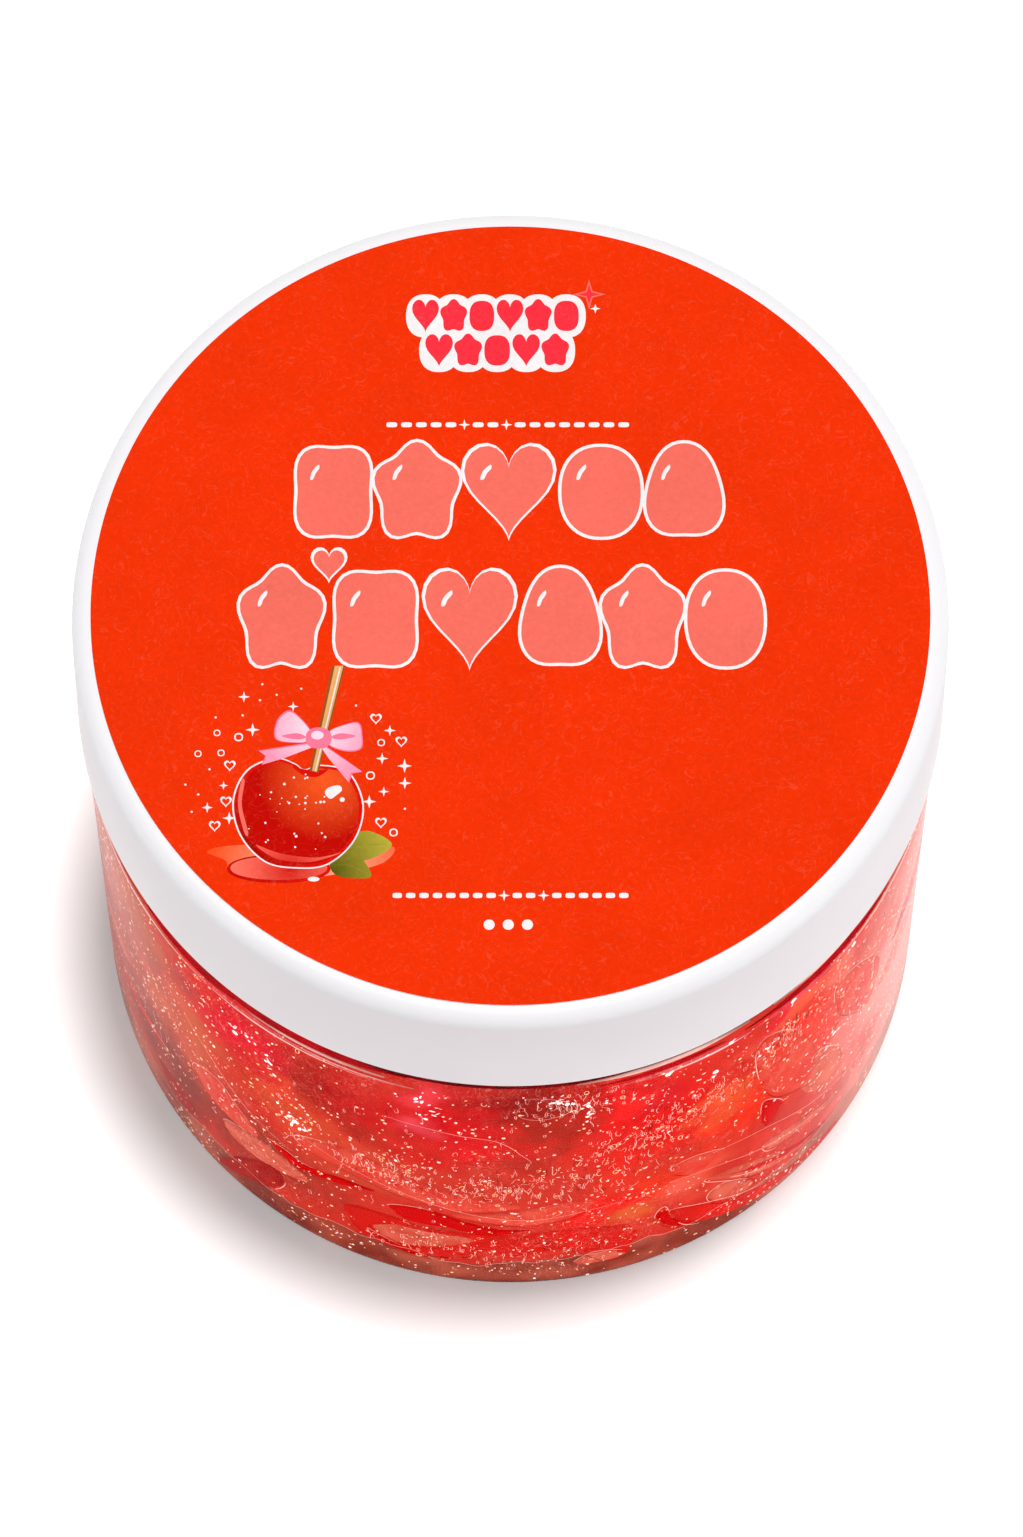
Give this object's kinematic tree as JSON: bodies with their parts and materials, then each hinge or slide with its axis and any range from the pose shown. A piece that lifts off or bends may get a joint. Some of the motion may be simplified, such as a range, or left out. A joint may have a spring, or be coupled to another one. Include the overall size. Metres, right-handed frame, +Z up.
{
  "type": "jar of candied fruit sweet filling",
  "caption": "Wide clear straight-sided jar packed with soft glittery red filling, closed by a white screw lid with a round orange-red label.",
  "frame": {"origin": "centre of the jar's base, on the surface it stands on", "axes": "+Z up along the jar's axis through the lid; -Y towards the viewer that reads the label upright; +X to that viewer's right"},
  "size_m": [0.0734, 0.0734, 0.0721],
  "materials": {
    "clear_plastic": "clear, polished, blow-moulded plastic wall",
    "red_filling": "soft, wet-looking, folded red mass with gold and white glitter",
    "white_plastic": "smooth satin white moulding",
    "printed_paper": "satin printed sticker, orange-red field with plain shapes"
  },
  "bodies": {
    "root": {"jar": "clear_plastic", "filling": "red_filling", "lid": "white_plastic", "label": "printed_paper"}
  },
  "joints": []
}
